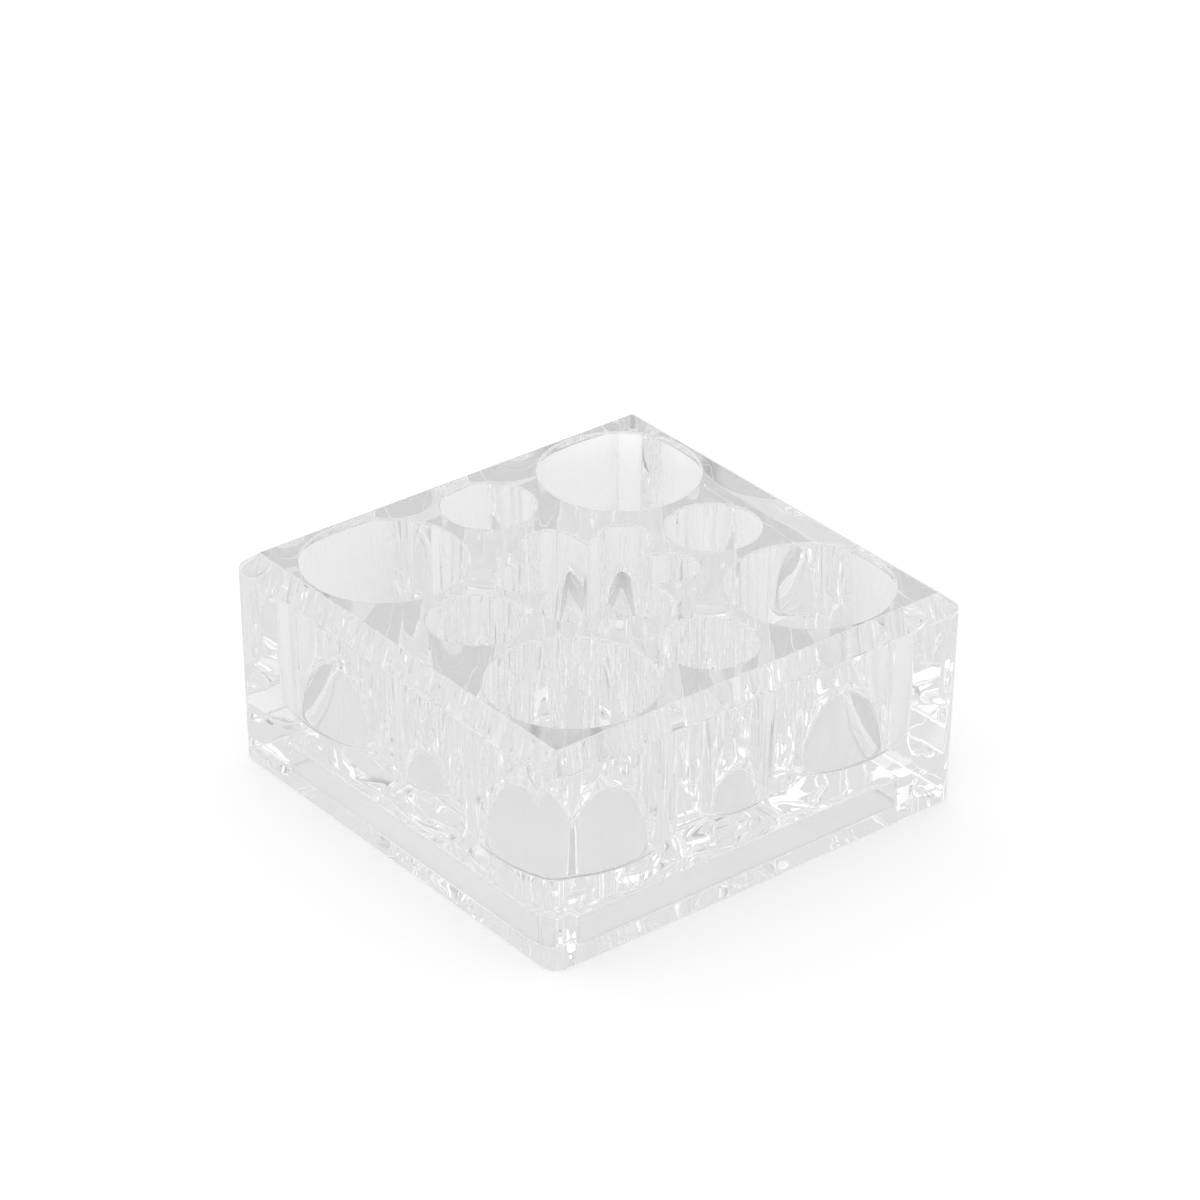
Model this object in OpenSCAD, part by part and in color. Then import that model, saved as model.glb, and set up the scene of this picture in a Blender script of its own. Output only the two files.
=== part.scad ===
// Nine compartment holder for cotton pads and small vanity things: one clear acrylic moulding.
// The frame: +Z is up, the origin is at the middle of the footprint on the surface it stands on.
// Large wells stand at the four corners, small wells between them, and a star in the middle.
// The block is as large as its compartments and the walls between them need.

/* [Large wells] */
// Mouth of the four large wells, which take round cotton pads of 57 mm
large_d = 58; // [48:0.5:90]

/* [Small wells] */
// Mouth of the four small wells, for cotton buds and brushes
small_d = 33.4; // [24:0.2:44]

/* [Star compartment] */
// Width of each of the three slots that cross in the middle
slot_w = 19.4; // [12:0.2:26]

/* [All compartments] */
// Depth from the top face to the floor
well_depth = 55; // [25:1:120]
// Draft of the walls, which lean in towards the floor
well_draft = 1; // [0:0.1:2]
// Width of the small bevel round the mouth
rim_bevel = 0.8; // [0.2:0.1:1.4]
// Width of the small bevel between wall and floor
floor_bevel = 1.8; // [0.4:0.1:5]

/* [Walls at the top face] */
// Wall between a side small well and the large wells and the star beside it
well_wall = 5.8; // [3:0.1:12]
// Wall between an end of the star and the front or back small well
star_wall = 8.3; // [3:0.1:20]
// Flat land between the rim of the outermost wells and the bevel
edge_land = 0.7; // [0.5:0.1:15]

/* [Outside] */
// How far the bevel comes in from the side
bevel_in = 7.5; // [2:0.5:12]
// How far the bevel goes down from the top face
bevel_down = 5.8; // [2:0.2:20]
// Radius of the top face's corners. The bevel widens it on the way down to the sides.
top_corner_r = 0.5; // [0.5:0.5:20]
// Draft of the four sides, which lean in towards the bottom
side_draft = 1.1; // [0:0.1:3]

/* [Underside] */
// Thickness of the solid floor between the compartments and the recess
floor_t = 14.4; // [4:0.2:40]
// Width of the solid band round the recess, which the block stands on
foot_band = 17.5; // [8:0.5:50]
// Depth of the recess
recess_depth = 11.6; // [2:0.2:30]
// Radius of the upright corners of the recess
recess_r = 3.5; // [0.5:0.1:12]

/* [Hidden] */
facets = 96;
cut_past = 1;
slot_angles = [30, 90, 150];

block_h = recess_depth + floor_t + well_depth;
floor_z = block_h - well_depth;
bevel_z = block_h - bevel_down;

// A side small well lies between two large wells, with its centre in line with theirs
large_c = (large_d + small_d) / 2 + well_wall;

// The ends of the slots stand the same wall away from the side small wells
slot_to_small = (slot_w + small_d) / 2 + well_wall;
slot_c = large_c * cos(slot_angles[0])
  - sqrt(pow(slot_to_small, 2) - pow(large_c * sin(slot_angles[0]), 2));
small_c = slot_c + (slot_w + small_d) / 2 + star_wall;

// Kept to a whole micron, so that the sides and the round corners meet without a gap
function micron(v) = round(v * 1000) / 1000;

half_top = micron(max(large_c + large_d / 2, small_c + small_d / 2) + rim_bevel + edge_land);
half_w = half_top + bevel_in;
half_bottom = micron(half_w - bevel_z * tan(side_draft));
corner_c = half_top - top_corner_r;
recess_w = 2 * (half_bottom - foot_band);

// Half of the block's upright section, from a line inside it out to the side
module side_section(inner) {
  polygon([
    [0, 0],
    [half_bottom - inner, 0],
    [half_w - inner, bevel_z],
    [half_top - inner, block_h],
    [0, block_h]
  ]);
}

// The block between two opposite sides, as wide as its straight edges
module straight_part() {
  rotate([90, 0, 0])
    linear_extrude(height = 2 * corner_c, center = true) {
      side_section(0);
      mirror([1, 0]) side_section(0);
    }
}

// The outside of the block, with its leaning sides, bevel and round corners
module outside() {
  for (turn = [0, 90]) rotate(turn) straight_part();
  for (turn = [0:90:270])
    rotate(turn)
      translate([corner_c, corner_c, 0])
        rotate_extrude(angle = 90, $fn = facets) side_section(corner_c);
}

// Where a leaning wall is at a height, for its half width at the mouth
function wall_at(half_mouth, z) = half_mouth - (block_h - z) * tan(well_draft);

// Half of the section of a compartment, with its leaning wall and its bevelled mouth and floor
module compartment_section(half_mouth) {
  wall_foot = wall_at(half_mouth, floor_z + floor_bevel);
  wall_top = wall_at(half_mouth, block_h - rim_bevel);
  polygon([
    [0, floor_z],
    [wall_foot - floor_bevel, floor_z],
    [wall_foot, floor_z + floor_bevel],
    [wall_top, block_h - rim_bevel],
    [wall_top + rim_bevel, block_h],
    [wall_top + rim_bevel, block_h + cut_past],
    [0, block_h + cut_past]
  ]);
}

// A round compartment
module round_well(mouth_d) {
  rotate_extrude($fn = facets) compartment_section(mouth_d / 2);
}

// A slot with round ends, across the middle of the block
module slot() {
  rotate([90, 0, 90])
    linear_extrude(height = 2 * slot_c, center = true) {
      compartment_section(slot_w / 2);
      mirror([1, 0]) compartment_section(slot_w / 2);
    }
  for (end = [-slot_c, slot_c]) translate([end, 0, 0]) round_well(slot_w);
}

// All nine compartments, as the room that they leave
module compartments() {
  for (x = [-1, 1], y = [-1, 1]) translate([x, y, 0] * large_c) round_well(large_d);
  for (side = [-large_c, large_c]) translate([side, 0, 0]) round_well(small_d);
  for (side = [-small_c, small_c]) translate([0, side, 0]) round_well(small_d);
  for (turn = slot_angles) rotate(turn) slot();
}

// The room in the underside, a square with round corners
module recess() {
  straight = recess_w - 2 * recess_r;
  translate([0, 0, -cut_past])
    linear_extrude(height = recess_depth + cut_past) {
      square([straight, recess_w], center = true);
      square([recess_w, straight], center = true);
      for (x = [-1, 1], y = [-1, 1])
        translate([x, y] * straight / 2) circle(r = recess_r, $fn = facets);
    }
}

// The one clear moulding
module block() {
  color([0.9, 0.93, 0.95, 0.35])
    difference() {
      outside();
      compartments();
      recess();
    }
}

block();
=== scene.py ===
import math

import bmesh
import bpy
import numpy as np
from mathutils import Matrix, Vector
from mathutils.geometry import delaunay_2d_cdt


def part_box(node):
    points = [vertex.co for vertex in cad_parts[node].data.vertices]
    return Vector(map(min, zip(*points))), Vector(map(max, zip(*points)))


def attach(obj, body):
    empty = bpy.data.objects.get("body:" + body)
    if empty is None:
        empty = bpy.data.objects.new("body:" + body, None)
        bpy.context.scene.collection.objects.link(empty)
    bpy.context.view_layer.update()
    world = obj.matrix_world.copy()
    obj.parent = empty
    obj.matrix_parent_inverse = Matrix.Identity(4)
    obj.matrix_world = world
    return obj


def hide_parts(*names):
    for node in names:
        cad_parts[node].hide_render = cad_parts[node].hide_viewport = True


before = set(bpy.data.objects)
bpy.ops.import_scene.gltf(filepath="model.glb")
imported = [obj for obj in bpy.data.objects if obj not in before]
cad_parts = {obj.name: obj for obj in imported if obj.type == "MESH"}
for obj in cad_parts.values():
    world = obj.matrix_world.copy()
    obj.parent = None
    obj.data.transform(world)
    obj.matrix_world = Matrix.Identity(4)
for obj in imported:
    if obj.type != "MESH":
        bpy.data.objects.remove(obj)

MM = 0.001
scene = bpy.context.scene
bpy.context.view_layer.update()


# Studio: the block is shot from above one corner with a long lens, on a white table.
# The camera's angles, distance and focal length come from the ellipses of the rims and the edges.
block_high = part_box("block")[1]
block_h = block_high.z

CAMERA_AZIMUTH = math.radians(-128.84)
CAMERA_ELEVATION = math.radians(29.98)
CAMERA_ROLL = math.radians(-0.32)
CAMERA_DISTANCE = 1684 * MM
CAMERA_TARGET = Vector((-10.8 * MM, -15.4 * MM, block_h))
FOCAL_PIXELS = 5007
IMAGE_PIXELS = 1200
SENSOR_MM = 36

away = Vector((
    math.cos(CAMERA_ELEVATION) * math.cos(CAMERA_AZIMUTH),
    math.cos(CAMERA_ELEVATION) * math.sin(CAMERA_AZIMUTH),
    math.sin(CAMERA_ELEVATION),
))
level = Vector((-away.y, away.x, 0)).normalized()
upright = away.cross(level)
axes = Matrix((level, upright, away)).transposed().to_4x4()
camera_data = bpy.data.cameras.new("photo_camera")
camera_data.sensor_width = SENSOR_MM
camera_data.lens = SENSOR_MM * FOCAL_PIXELS / IMAGE_PIXELS
camera = bpy.data.objects.new("photo_camera", camera_data)
camera.matrix_world = (
    Matrix.Translation(CAMERA_TARGET + away * CAMERA_DISTANCE)
    @ axes
    @ Matrix.Rotation(-CAMERA_ROLL, 4, "Z")
)
scene.collection.objects.link(camera)
scene.camera = camera
scene.view_settings.view_transform = "Standard"


# The block: one clear acrylic moulding, poured thick and polished, with nine compartments in the top
# and a shallow recess underneath. Its sides and wells lean a little, so that it leaves the mould.
# Every edge is slightly rounded, and the thick places between the wells have sunk as they cooled.
LARGE_D = 58 * MM
SMALL_D = 33.4 * MM
SLOT_W = 19.4 * MM
LARGE_C = 51.5 * MM
SMALL_C = 59.97 * MM
SLOT_C = 25.27 * MM
SLOT_ANGLES = np.radians([30, 90, 150, 210, 270, 330])
WELL_DEPTH = 55 * MM
WELL_DRAFT = math.radians(1)
NOTCH_R = 0.9 * MM
RIM_R = 0.8 * MM
FLOOR_R = 3 * MM

BEVEL_IN = 7.5 * MM
BEVEL_DOWN = 5.8 * MM
TOP_CORNER_R = 0.5 * MM
SIDE_DRAFT = math.radians(1.1)
EDGE_R = 1 * MM
FOOT_R = 0.6 * MM

FOOT_BAND = 17.5 * MM
RECESS_DEPTH = 11.6 * MM
RECESS_R = 3.5 * MM
RECESS_FILLET = 1.2 * MM

half_w = block_high.x
half_top = half_w - BEVEL_IN
half_bottom = half_w - (block_h - BEVEL_DOWN) * math.tan(SIDE_DRAFT)
corner_c = half_top - TOP_CORNER_R
recess_half = half_bottom - FOOT_BAND
floor_z = block_h - WELL_DEPTH


def directions(angles):
    """The unit vectors at these angles."""
    return np.stack([np.cos(angles), np.sin(angles)], axis=-1)


def round_square(core, in_corner=20, in_side=44):
    """A closed outline as points and normals: the corners of a square of half width core, where the
    normals turn through a quarter circle, and the straight lines between them."""
    turn = np.linspace(0, math.pi / 2, in_corner + 1)
    along = np.linspace(1, -1, in_side + 1)[1:-1]
    corner = np.full((len(turn), 2), core)
    side = np.stack([core * along, np.full(len(along), core)], axis=-1)
    points = np.concatenate([corner, side])
    angles = np.concatenate([turn, np.full(len(along), math.pi / 2)])
    quarters = np.arange(4) * math.pi / 2
    spin = np.stack([directions(quarters), directions(quarters + math.pi / 2)], axis=1)
    return (
        np.concatenate(np.einsum("pi,qij->qpj", points, spin)),
        directions(np.concatenate(angles + quarters[:, None])),
    )


def ring(centre, radius, steps):
    """A circle as points and normals."""
    normals = directions(np.linspace(0, 2 * math.pi, steps, endpoint=False))
    return np.array(centre) + radius * normals, normals


def star(arm_angles, reach, half_width, notch_r, in_tip=56, in_notch=12, in_wall=14):
    """The outline of crossing slots: round tips at the end of each arm, straight walls, and a small
    radius on the wedge of plastic between two arms."""
    half_turn = math.pi / len(arm_angles)
    wedge_c = (half_width + notch_r) / math.sin(half_turn)
    wall_start = wedge_c * math.cos(half_turn)
    tip_turn = np.linspace(-math.pi / 2, math.pi / 2, in_tip + 1)
    along = np.linspace(wall_start, reach, in_wall + 1)[1:-1]
    notch_turn = np.linspace(math.pi / 2, 2 * half_turn - math.pi / 2, in_notch + 1)
    right_wall = np.stack([along, np.full(len(along), -half_width)], axis=-1)
    tip = np.array([reach, 0]) + half_width * directions(tip_turn)
    left_wall = right_wall[::-1] * [1, -1]
    notch = wedge_c * directions(half_turn) - notch_r * directions(notch_turn)
    points = np.concatenate([right_wall, tip, left_wall, notch])
    quarter = np.full(len(along), math.pi / 2)
    angles = np.concatenate([-quarter, tip_turn, quarter, notch_turn])
    spin = np.stack([directions(arm_angles), directions(arm_angles + math.pi / 2)], axis=1)
    return (
        np.concatenate(np.einsum("pi,qij->qpj", points, spin)),
        directions(np.concatenate(angles + arm_angles[:, None])),
    )


ARC_STEPS = 8


def rounded(corners, radii):
    """A section line with each inner corner replaced by an arc of its radius. The line's own two ends
    are left off, so it starts and stops where the first and last arcs meet the flat faces."""
    corners = np.array(corners, float)
    parts = []
    for before, corner, after, radius in zip(corners, corners[1:], corners[2:], radii):
        into = (corner - before) / np.linalg.norm(corner - before)
        out = (after - corner) / np.linalg.norm(after - corner)
        cross = into[0] * out[1] - into[1] * out[0]
        turn = math.atan2(cross, into @ out)
        left = math.copysign(1, turn) * np.array([-into[1], into[0]])
        start = corner - into * radius * math.tan(abs(turn) / 2)
        swing = np.linspace(0, abs(turn), ARC_STEPS + 1)[:, None]
        parts.append(start + radius * (np.sin(swing) * into + (1 - np.cos(swing)) * left))
    return np.concatenate(parts)


def divided(section, first, rows):
    """A section line with its straight stretch after the point number first cut into equal rows."""
    along = np.linspace(0, 1, rows + 1)[1:-1, None]
    between = section[first] * (1 - along) + section[first + 1] * along
    return np.concatenate([section[: first + 1], between, section[first + 1 :]])


def swept(outline, section):
    """The surface of a section carried round an outline: each outline point moved along its normal by
    the section's first number, at the height of its second."""
    points, normals = outline
    moved = points + section[:, :1, None] * normals
    heights = np.broadcast_to(section[:, 1:, None], (*moved.shape[:2], 1))
    return np.concatenate([moved, heights], axis=-1)


WELD = 0.0001 * MM
# The triangulation's number for the kind of faces that it gives back
TRIANGLES_INSIDE = 1


class Shell:
    """Collects surfaces that share their edges, and welds them into one closed mesh."""

    def __init__(self):
        self.points = []
        self.faces = []
        self.count = 0

    def grid(self, surface):
        """Adds a surface whose rows are closed loops."""
        rows, around = surface.shape[:2]
        numbers = self.count + np.arange(rows * around).reshape(rows, around)
        beside = np.roll(numbers, -1, axis=1)
        quads = np.stack([numbers[:-1], beside[:-1], beside[1:], numbers[1:]], axis=-1)
        self.points.append(surface.reshape(-1, 3))
        self.faces += quads.reshape(-1, 4).tolist()
        self.count += rows * around

    def cap(self, loop):
        """Closes a flat loop with one face."""
        self.points.append(loop)
        self.faces.append(list(range(self.count, self.count + len(loop))))
        self.count += len(loop)

    def plate(self, loops):
        """Adds the flat face inside the first loop and outside the others: the Delaunay triangles of
        their points that keep the loops as edges. A triangle stays if a line from its middle crosses
        the loops an odd number of times."""
        points = np.concatenate(loops)
        x, y = points[:, 0], points[:, 1]
        starts = np.cumsum([0] + [len(loop) for loop in loops])
        numbers = [np.arange(*ends) for ends in zip(starts, starts[1:])]
        first = np.concatenate(numbers)
        second = np.concatenate([np.roll(loop, -1) for loop in numbers])
        flat = [Vector(point) for point in (points[:, :2] / MM).tolist()]
        edges = list(zip(first.tolist(), second.tolist()))
        found = delaunay_2d_cdt(flat, edges, [], TRIANGLES_INSIDE, WELD / MM)
        given = np.array([sources[0] for sources in found[3]])
        faces = given[np.array(found[2])]
        middle_x, middle_y = points[faces].mean(axis=1)[:, :2, None].transpose(1, 0, 2)
        spans = (y[first] > middle_y) != (y[second] > middle_y)
        rise = np.where(y[first] == y[second], 1, y[second] - y[first])
        crossing_x = x[first] + (middle_y - y[first]) * (x[second] - x[first]) / rise
        crossings = np.sum(spans & (middle_x < crossing_x), axis=1)
        self.points.append(points)
        self.faces += (self.count + faces[crossings % 2 == 1]).tolist()
        self.count += len(points)

    def mesh(self, name):
        """The mesh, with the points that its surfaces share welded."""
        data = bpy.data.meshes.new(name)
        data.from_pydata(np.concatenate(self.points), [], self.faces)
        work = bmesh.new()
        work.from_mesh(data)
        bmesh.ops.remove_doubles(work, verts=work.verts, dist=WELD)
        bmesh.ops.recalc_face_normals(work, faces=work.faces)
        for face in work.faces:
            face.smooth = True
        work.to_mesh(data)
        work.free()
        return data


shell = Shell()

# The outside, from the foot up the leaning side and over the bevel to the top face
outer = round_square(corner_c)
outer_section = rounded(
    [(0, 0), (half_bottom, 0), (half_w, block_h - BEVEL_DOWN), (half_top, block_h), (0, block_h)],
    [FOOT_R, EDGE_R, EDGE_R],
) - [corner_c, 0]
outer_surface = swept(outer, outer_section)
shell.grid(outer_surface)

# The compartments, each from its rounded mouth down the leaning wall to its flat floor
WALL_ROWS = 12
LARGE_STEPS = 264
SMALL_STEPS = 168
well_inset = WELL_DEPTH * math.tan(WELL_DRAFT)
well_line = rounded(
    [(LARGE_D, block_h), (0, block_h), (-well_inset, floor_z), (-LARGE_D, floor_z)],
    [RIM_R, FLOOR_R],
)
well_section = divided(well_line, ARC_STEPS, WALL_ROWS)
wells = [ring((x, y), LARGE_D / 2, LARGE_STEPS) for x in (-LARGE_C, LARGE_C) for y in (-LARGE_C, LARGE_C)]
wells += [ring((x, 0), SMALL_D / 2, SMALL_STEPS) for x in (-LARGE_C, LARGE_C)]
wells += [ring((0, y), SMALL_D / 2, SMALL_STEPS) for y in (-SMALL_C, SMALL_C)]
wells.append(star(SLOT_ANGLES, SLOT_C, SLOT_W / 2, NOTCH_R))

# The waves in the walls: the range of how many go round a well, how many are added up, how steep each
# one is, and how far it turns on its way down
RIPPLE_WAVES = (4, 30)
RIPPLE_COUNT = 14
RIPPLE_SLOPE = 0.010
RIPPLE_TWIST = 2.5
SEED = 20
chance = np.random.default_rng(SEED)


def rippled(wall, normals):
    """A well's wall with the faint upright waves that polishing leaves in a mould: a sum of cosines of
    the angle of the normal, each of the same slope, that fades out at the mouth and at the floor."""
    facing = np.arctan2(normals[:, 1], normals[:, 0])
    down = (block_h - wall[:, :1, 2]) / WELL_DEPTH
    push = np.zeros(wall.shape[:2])
    for waves in chance.integers(*RIPPLE_WAVES, RIPPLE_COUNT):
        start = chance.uniform(0, 2 * math.pi)
        twist = chance.normal(0, RIPPLE_TWIST)
        depth = RIPPLE_SLOPE * SMALL_D / 2 / waves
        push += depth * np.cos(waves * facing + start + twist * down)
    push *= np.sqrt(np.clip(np.sin(math.pi * down), 0, 1))
    moved = wall.copy()
    moved[..., :2] += push[..., None] * normals
    return moved


mouths = []
for outline in wells:
    wall = rippled(swept(outline, well_section), outline[1])
    shell.grid(wall)
    shell.cap(wall[-1])
    mouths.append(wall[0])
shell.plate([outer_surface[-1], *mouths])

# The recess, from the foot band up its wall and across its ceiling, which has sunk upwards where the
# plastic over it is thickest: everywhere but under the wells
SINK_HEIGHT = 3 * MM
SINK_SOFTNESS = 3.5 * MM
SINK_EDGE = 9 * MM
CEILING_ROWS = 48
CEILING_HUB = 0.02
recess_outline = round_square(recess_half - RECESS_R)
recess_section = rounded(
    [(half_bottom, 0), (RECESS_R, 0), (RECESS_R, RECESS_DEPTH), (-half_bottom, RECESS_DEPTH)],
    [FOOT_R, RECESS_FILLET],
)
recess_wall = swept(recess_outline, recess_section)
shrink = np.linspace(1, CEILING_HUB, CEILING_ROWS)[:, None, None]
ceiling = recess_wall[-1] * shrink
ceiling[..., 2] = RECESS_DEPTH


def sunk(surface):
    """Lifts the ceiling of the recess towards the thick places between the wells. The lift starts from
    nothing at the edge of the recess, as the wall there holds it in place."""
    x, y = surface[..., 0], surface[..., 1]
    inside = np.clip((recess_half - np.maximum(abs(x), abs(y))) / SINK_EDGE, 0, 1)
    thick = inside * inside * (3 - 2 * inside)
    spots = [(sx * LARGE_C, sy * LARGE_C, LARGE_D / 2) for sx in (-1, 1) for sy in (-1, 1)]
    spots += [(sx * LARGE_C, 0, SMALL_D / 2) for sx in (-1, 1)]
    spots += [(0, sy * SMALL_C, SMALL_D / 2) for sy in (-1, 1)]
    spots.append((0, 0, SLOT_C))
    for cx, cy, radius in spots:
        over = np.hypot(x - cx, y - cy) - radius
        thick /= 1 + np.exp(-over / SINK_SOFTNESS)
    lifted = surface.copy()
    lifted[..., 2] *= 1 + SINK_HEIGHT / RECESS_DEPTH * thick
    return lifted


shell.grid(sunk(recess_wall))
shell.grid(sunk(ceiling))
shell.cap(sunk(ceiling)[-1])
shell.grid(np.stack([outer_surface[0], recess_wall[0]]))

FLAT_FACE_WEIGHT = 100
block = bpy.data.objects.new("clear_block", shell.mesh("clear_block"))
scene.collection.objects.link(block)
true_normals = block.modifiers.new("true_normals", "WEIGHTED_NORMAL")
true_normals.mode = "FACE_AREA"
true_normals.weight = FLAT_FACE_WEIGHT


class Socket:
    """Wraps a shader socket, so that maths on values reads as a Python expression."""

    def __init__(self, tree, link):
        self.tree = tree
        self.link = link

    def __add__(self, other):
        return self.tree.maths("ADD", self, other)

    def __sub__(self, other):
        return self.tree.maths("SUBTRACT", self, other)

    def __mul__(self, other):
        return self.tree.maths("MULTIPLY", self, other)

    def __truediv__(self, other):
        return self.tree.maths("DIVIDE", self, other)

    __radd__ = __add__
    __rmul__ = __mul__

    def __rsub__(self, other):
        return self.tree.maths("SUBTRACT", other, self)


class Tree:
    """A node tree that is filled by calls to one method."""

    def __init__(self, owner):
        owner.use_nodes = True
        self.tree = owner.node_tree
        self.tree.nodes.clear()

    def node(self, kind, settings=None, *values, output=0, **named):
        """Adds a node: its settings first, then its sockets' values or links, by place or by name."""
        new = self.tree.nodes.new(kind)
        for name, value in (settings or {}).items():
            setattr(new, name, value)
        for key, value in [*enumerate(values), *named.items()]:
            socket = self.socket(new.inputs, key)
            if isinstance(value, Socket):
                self.tree.links.new(value.link, socket)
            else:
                socket.default_value = value
        return Socket(self, self.socket(new.outputs, output)) if new.outputs else new

    def socket(self, sockets, key):
        """The socket with this place, identifier or name."""
        if isinstance(key, int):
            return sockets[key]
        for socket in sockets:
            if key in (socket.identifier, socket.name.replace(" ", "_")):
                return socket
        raise KeyError(key)

    def maths(self, operation, *values):
        """One of the Math node's operations on values."""
        return self.node("ShaderNodeMath", {"operation": operation}, *values)

    def mix(self, amount, first, second):
        """A colour between two colours."""
        return self.node(
            "ShaderNodeMix", {"data_type": "RGBA"},
            Factor_Float=amount, A_Color=first, B_Color=second, output="Result_Color",
        )

    def ramp(self, value, start, end):
        """Rises smoothly from 0 to 1 as the value goes from start to end."""
        smooth = {"interpolation_type": "SMOOTHSTEP"}
        return self.node("ShaderNodeMapRange", smooth, value, start, end, 0.0, 1.0)

    def axis(self, vector, number):
        """One of the three numbers of a vector."""
        return self.node("ShaderNodeSeparateXYZ", None, vector, output=number)


# The finish: clear and polished, with faint upright marks from the mould, long soft waves in the skin, and
# a haze and a coolness that come and go like clouds
ACRYLIC_IOR = 1.49
CLEAR = (1, 1, 1, 1)
FAINT_COOL = (0.99, 0.992, 0.993, 1)
POLISH_HAZE = 0.012
CLOUD_SCALE = 18
CLOUD_DETAIL = 3
MARK_SCALE = 300
MARK_STRETCH = 0.012
MARK_DEPTH = 0.012 * MM
WAVE_SCALE = 70
WAVE_DETAIL = 1
WAVE_DEPTH = 0.10 * MM

acrylic = bpy.data.materials.new("clear_acrylic")
tree = Tree(acrylic)
place = tree.node("ShaderNodeTexCoord", output="Object")
upright_place = tree.node("ShaderNodeVectorMath", {"operation": "MULTIPLY"}, place, (1, 1, MARK_STRETCH))
marks = tree.node("ShaderNodeTexNoise", None, Vector=upright_place, Scale=MARK_SCALE, Detail=0)
waves = tree.node("ShaderNodeTexNoise", None, Vector=place, Scale=WAVE_SCALE, Detail=WAVE_DETAIL)
clouds = tree.node("ShaderNodeTexNoise", None, Vector=place, Scale=CLOUD_SCALE, Detail=CLOUD_DETAIL)
facing = tree.node("ShaderNodeNewGeometry", output="Normal")
facing_up = tree.axis(facing, 2)
on_walls = 1 - facing_up * facing_up
height = marks * on_walls * MARK_DEPTH + waves * WAVE_DEPTH
skin = tree.node("ShaderNodeBump", None, Strength=1.0, Distance=1.0, Height=height)
surface = tree.node(
    "ShaderNodeBsdfPrincipled", None,
    Base_Color=tree.mix(clouds, CLEAR, FAINT_COOL), Roughness=POLISH_HAZE * clouds, Normal=skin,
    IOR=ACRYLIC_IOR, Transmission_Weight=1.0,
)
tree.node("ShaderNodeOutputMaterial", None, Surface=surface)
block.data.materials.append(acrylic)
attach(block, "root")
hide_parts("block")


# The table: a wide white sheet that shows plain white round the block, with the block's shadow on it.
# Through the plastic it shows a painted shade: a little greyer in a ring round the block and where the
# foot touches it, as a painted shadow of the block and its foot.
TABLE_SIZE = 6.0
TABLE_DROP = 0.1 * MM
WHITE = (1, 1, 1, 1)
PAPER = (0.77, 0.77, 0.77, 1)
PAPER_GLOW = 0.46
# Painted shade seen through the plastic: how much the ring round the block and the band under the foot are
# darkened, and where
RING_SHADE = 0.22
RING_STARTS = (95 * MM, 125 * MM)
RING_ENDS = (215 * MM, 290 * MM)
FOOT_SHADE = 0.10
FOOT_SOFT = 2 * MM

table_mesh = bpy.data.meshes.new("table")
side = TABLE_SIZE / 2
table_corners = [(-side, -side), (side, -side), (side, side), (-side, side)]
table_mesh.from_pydata([(x, y, -TABLE_DROP) for x, y in table_corners], [], [(0, 1, 2, 3)])
table = bpy.data.objects.new("table", table_mesh)
scene.collection.objects.link(table)
paper = bpy.data.materials.new("white_paper")
tree = Tree(paper)
place = tree.node("ShaderNodeTexCoord", output="Object")
from_middle = tree.node("ShaderNodeVectorMath", {"operation": "LENGTH"}, place, output="Value")
across = tree.maths("ABSOLUTE", tree.axis(place, 0))
along = tree.maths("ABSOLUTE", tree.axis(place, 1))
square = tree.maths("MAXIMUM", across, along)
ring_shade = tree.ramp(from_middle, *RING_STARTS) - tree.ramp(from_middle, *RING_ENDS)
foot_starts = tree.ramp(square, recess_half - FOOT_SOFT, recess_half)
foot_ends = tree.ramp(square, half_bottom, half_bottom + FOOT_SOFT)
camera_ray = tree.node("ShaderNodeLightPath", output="Is_Camera_Ray")
glossy_ray = tree.node("ShaderNodeLightPath", output="Is_Glossy_Ray")
through_ray = tree.node("ShaderNodeLightPath", output="Is_Transmission_Ray")
carried_ray = tree.maths("MAXIMUM", glossy_ray, through_ray)
# Painted shadow: rays that come through the plastic or by reflection see the glow lowered in the ring and
# under the foot band
carried_glow_with_painted_shade = PAPER_GLOW - RING_SHADE * ring_shade - FOOT_SHADE * (foot_starts - foot_ends)
shown_glow = camera_ray * PAPER_GLOW + (1 - camera_ray) * carried_ray * carried_glow_with_painted_shade
lit_sheet = tree.node("ShaderNodeBsdfDiffuse", None, PAPER)
glow = tree.node("ShaderNodeEmission", None, Color=shown_glow, Strength=1.0)
shown_sheet = tree.node("ShaderNodeAddShader", None, lit_sheet, glow)
tree.node("ShaderNodeOutputMaterial", None, Surface=shown_sheet)
table_mesh.materials.append(paper)


# The light: a plain pale room with soft lamps and with the darker gaps between them. The widest lamp is
# low behind the block to its left, and another hangs over the camera. The clear block bends them all into
# its bright and grey streaks.
ROOM = 0.76
PANEL_EDGE = 5
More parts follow.
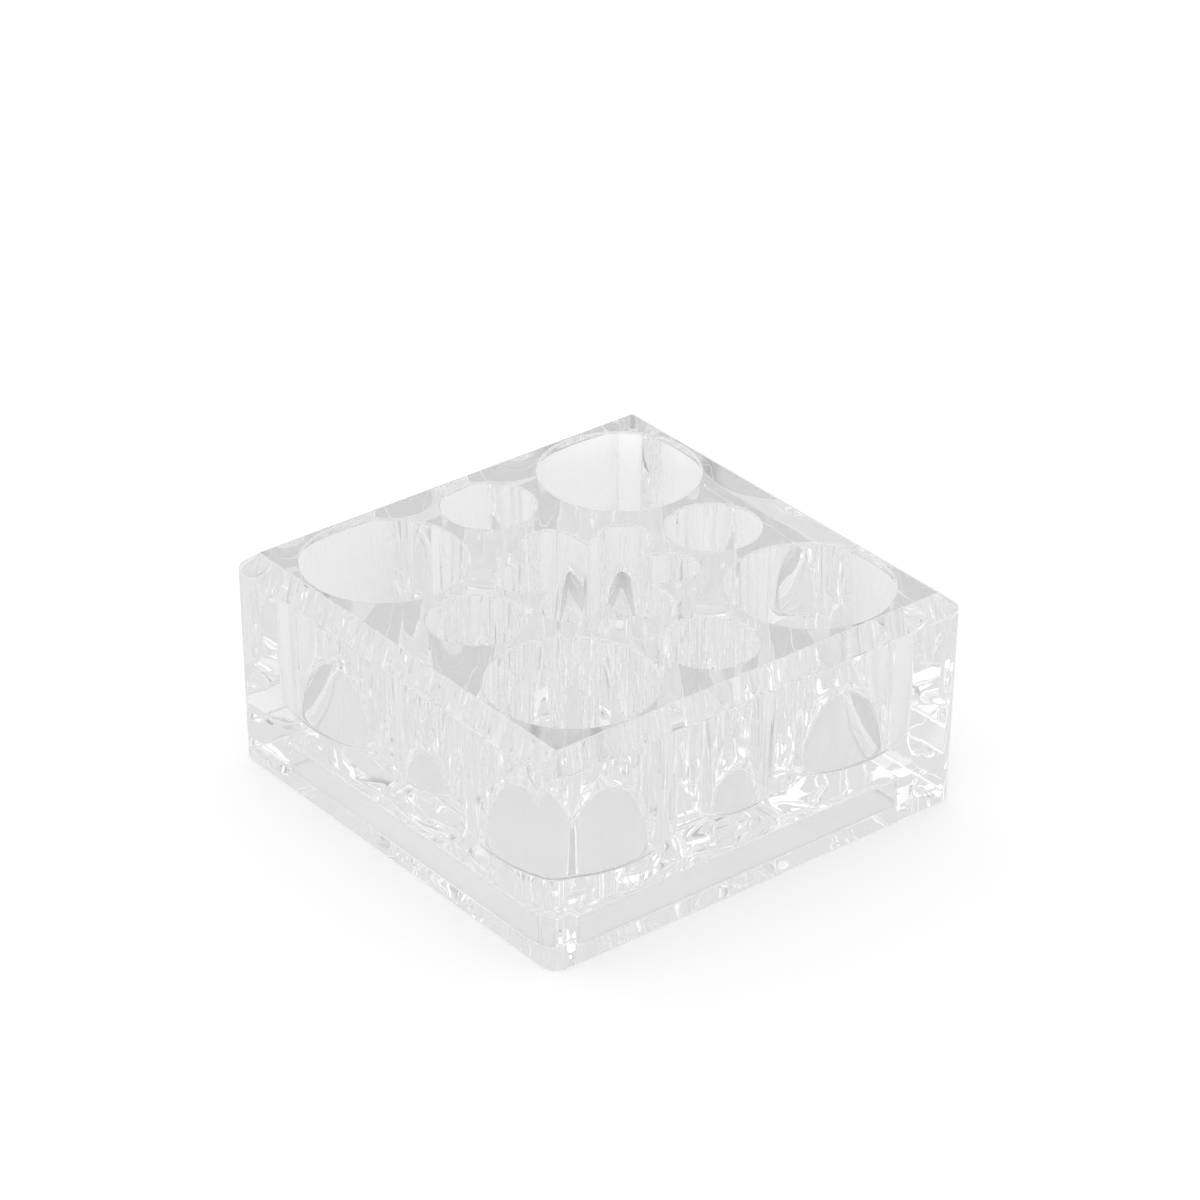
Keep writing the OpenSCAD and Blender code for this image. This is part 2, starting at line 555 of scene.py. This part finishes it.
# Each lamp or gap: the azimuth of its middle, its half width, its bottom and top in degrees, and how much
# brighter or darker than the room it is
PANELS = [
    (120, 46, -10, 25, 0.75),
    (205, 11, -10, 24, -0.32),
    (255, 12, -10, 14, -0.22),
    (294, 11, 6, 26, -0.34),
    (317, 9, 10, 26, 0.42),
    (340, 10, 8, 27, -0.34),
    (30, 22, 10, 25, -0.22),
    (85, 40, 38, 56, 0.30),
    (168, 24, 38, 56, -0.26),
    (212, 13, 40, 56, 0.42),
    (304, 13, 40, 56, -0.24),
    (50, 24, 58, 72, -0.36),
    (200, 34, 57, 74, 0.62),
]

world = bpy.data.worlds.new("studio")
scene.world = world
tree = Tree(world)
towards = tree.node("ShaderNodeTexCoord", output="Generated")
east = tree.axis(towards, 0)
north = tree.axis(towards, 1)
flat = tree.maths("SQRT", east * east + north * north)
height = tree.maths("ARCTAN2", tree.axis(towards, 2), flat)


def panel(azimuth, half_width, bottom, top):
    """1 inside an upright panel of the room and 0 outside, in degrees: how far the cosine of the angle
    to the panel's middle is above that of its half width, times the steps at its bottom and top."""
    middle = math.radians(azimuth)
    towards_middle = (east * math.cos(middle) + north * math.sin(middle)) / flat
    outer = math.cos(math.radians(half_width + PANEL_EDGE / 2))
    inner = math.cos(math.radians(half_width - PANEL_EDGE / 2))
    above = tree.ramp(height, math.radians(bottom), math.radians(bottom + PANEL_EDGE))
    below = tree.ramp(height, math.radians(top - PANEL_EDGE), math.radians(top))
    return tree.ramp(towards_middle, outer, inner) * above * (1 - below)


tone = ROOM
for azimuth, half_width, bottom, top, change in PANELS:
    tone = tone + change * panel(azimuth, half_width, bottom, top)
room = tree.node("ShaderNodeBackground", None, Color=tone, Strength=1.0)
backdrop = tree.node("ShaderNodeBackground", None, Color=WHITE, Strength=1.0)
camera_ray = tree.node("ShaderNodeLightPath", output="Is_Camera_Ray")
shown_room = tree.node("ShaderNodeMixShader", None, camera_ray, room, backdrop)
tree.node("ShaderNodeOutputWorld", None, Surface=shown_room)

# Light goes to and fro inside the block many times before it leaves
BOUNCES = 40
scene.cycles.max_bounces = BOUNCES
scene.cycles.glossy_bounces = BOUNCES
scene.cycles.transmission_bounces = BOUNCES
